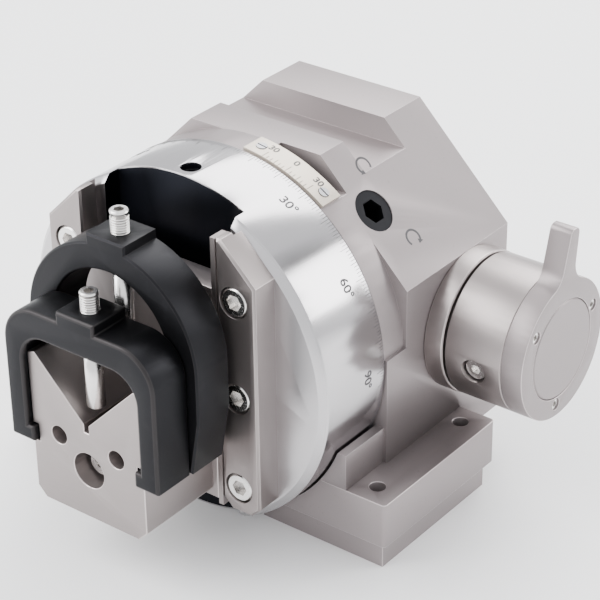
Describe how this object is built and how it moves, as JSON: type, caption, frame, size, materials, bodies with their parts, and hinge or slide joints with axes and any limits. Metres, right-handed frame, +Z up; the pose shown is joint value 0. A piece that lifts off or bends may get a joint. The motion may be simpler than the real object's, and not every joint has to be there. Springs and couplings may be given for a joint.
{
  "type": "rotary V-block grinding fixture",
  "caption": "Bench indexing fixture with a graduated drum spindle, a V-block slide with two screw yokes, a geared side handwheel and a flanged base.",
  "frame": {"origin": "centre of the flat bottom face of the base", "axes": "+X towards the handwheel, -Y towards the V-block, +Z up; the spindle axis runs along Y at Z = 50.8 mm"},
  "size_m": [0.1431, 0.1297, 0.1012],
  "materials": {
    "housing": "satin light grey plated casting",
    "polished_steel": "ground and polished",
    "ground_steel": "fine matte ground",
    "satin_steel": "satin turned",
    "black_oxide": "satin black oxide",
    "bright_screw": "bright turned",
    "scale_plate": "satin chrome scale",
    "bronze": "machined bearing bronze",
    "gear_steel": "machined",
    "friction_lining": "dark friction lining"
  },
  "bodies": {
    "housing": {"base_plate": "housing", "base_body": "housing", "vernier_plate": "scale_plate", "vernier_screws": "bright_screw", "front_bearing": "bronze", "rear_bearing": "bronze", "rear_cover": "satin_steel", "rear_cover_screws": "black_oxide", "clamp_shoe": "bronze", "wheel_ring": "satin_steel", "wheel_ring_screws": "black_oxide", "friction_washer": "friction_lining", "shaft_bush": "bronze"},
    "spindle": {"graduated_drum": "polished_steel", "drum_screws": "black_oxide", "drum_grub_screw": "black_oxide", "spindle_shaft": "gear_steel", "crown_gear": "gear_steel", "thrust_washer": "ground_steel", "lock_nut": "black_oxide", "left_guide": "satin_steel", "right_guide": "satin_steel", "guide_screws": "bright_screw", "gib_strip": "ground_steel"},
    "carriage": {"slide_block": "ground_steel", "v_block": "ground_steel", "v_block_screw": "bright_screw"},
    "front_yoke": {"front_yoke": "black_oxide"},
    "rear_yoke": {"rear_yoke": "black_oxide"},
    "front_clamp_screw": {"front_clamp_screw": "bright_screw"},
    "rear_clamp_screw": {"rear_clamp_screw": "bright_screw"},
    "spindle_clamp_screw": {"spindle_clamp_screw": "black_oxide"},
    "handwheel": {"pinion_shaft": "gear_steel", "wheel_hub": "satin_steel", "hub_screw": "bright_screw", "lever_plate": "satin_steel", "end_cover": "satin_steel", "plate_screws": "bright_screw"}
  },
  "joints": [
    {"name": "spindle_turn", "type": "hinge", "parent": "housing", "child": "spindle", "pos_m": [0, 0, 0.0508], "axis": [0, -1, 0], "continuous": true},
    {"name": "handwheel_turn", "type": "hinge", "parent": "housing", "child": "handwheel", "pos_m": [0.066, 0.0275, 0.0498], "axis": [1, 0, 0], "continuous": true},
    {"name": "carriage_slide", "type": "slide", "parent": "spindle", "child": "carriage", "axis": [0, 0, 1], "range_m": [-0.008, 0.01]},
    {"name": "front_yoke_slide", "type": "slide", "parent": "carriage", "child": "front_yoke", "axis": [0, -1, 0], "range_m": [0, 0.008]},
    {"name": "rear_yoke_slide", "type": "slide", "parent": "carriage", "child": "rear_yoke", "axis": [0, 1, 0], "range_m": [0, 0.003]},
    {"name": "front_clamp_feed", "type": "slide", "parent": "front_yoke", "child": "front_clamp_screw", "axis": [0, 0, 1], "range_m": [-0.0012, 0.01]},
    {"name": "rear_clamp_feed", "type": "slide", "parent": "rear_yoke", "child": "rear_clamp_screw", "axis": [0, 0, 1], "range_m": [-0.01, 0.008]},
    {"name": "spindle_clamp_turn", "type": "hinge", "parent": "housing", "child": "spindle_clamp_screw", "pos_m": [0.03, 0.0065, 0.0808], "axis": [0.7071, 0, 0.7071], "range_deg": [0, 90]}
  ],
  "couplings": [
    {"joint": "handwheel_turn", "follows": "spindle_turn", "ratio": -3.6667}
  ]
}
